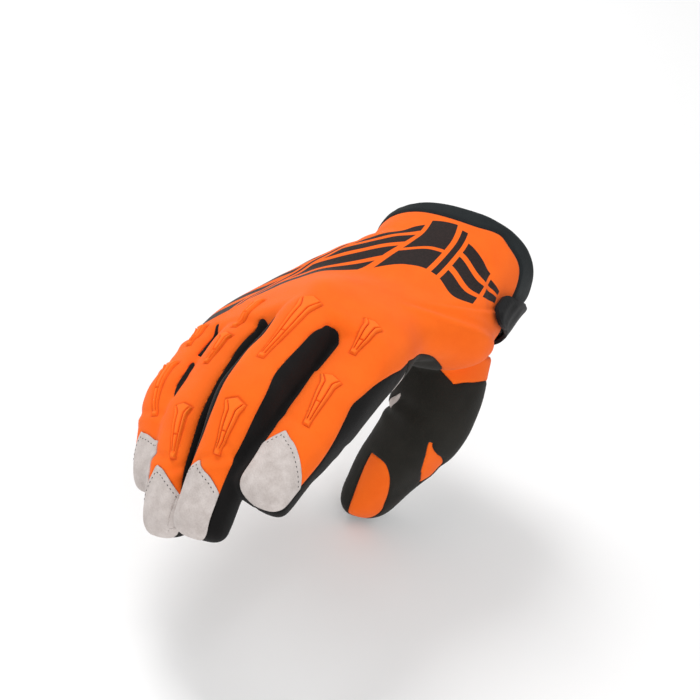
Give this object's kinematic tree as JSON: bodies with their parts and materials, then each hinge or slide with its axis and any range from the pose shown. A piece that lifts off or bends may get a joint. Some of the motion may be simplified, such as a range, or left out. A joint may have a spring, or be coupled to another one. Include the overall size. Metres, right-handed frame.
{
  "type": "motocross glove",
  "caption": "Right-hand off-road riding glove in worn shape, with a hollow cloth shell, knuckle reliefs, suede palm and fingertip caps, finger gussets, cuff edge and wrist strap.",
  "frame": {"origin": "centre of the wrist opening", "axes": "+X to the thumb side, -Y along the hand to the fingertips, +Z out of the back of the hand"},
  "size_m": [0.125, 0.2179, 0.137],
  "materials": {
    "back_fabric": "orange stretch knit, matte",
    "palm_suede": "light grey synthetic suede, matte",
    "gusset_fabric": "black stretch cloth, matte",
    "thumb_fabric": "black knit, matte",
    "cuff_elastic": "black elastic binding, matte",
    "strap_fabric": "black moulded closing strap, matte"
  },
  "bodies": {
    "root": {"back_panel": "back_fabric", "thumb_tip_patch": "back_fabric", "thumb_knuckle_patch": "back_fabric", "palm_panel": "palm_suede", "fingertip_cap_index": "palm_suede", "fingertip_cap_middle": "palm_suede", "fingertip_cap_ring": "palm_suede", "fingertip_cap_little": "palm_suede", "side_strip_index": "gusset_fabric", "side_strip_little": "gusset_fabric", "gusset_index_middle": "gusset_fabric", "gusset_middle_ring": "gusset_fabric", "gusset_ring_little": "gusset_fabric", "thumb_shell": "thumb_fabric", "cuff_band": "cuff_elastic", "wrist_strap": "strap_fabric"}
  },
  "joints": []
}
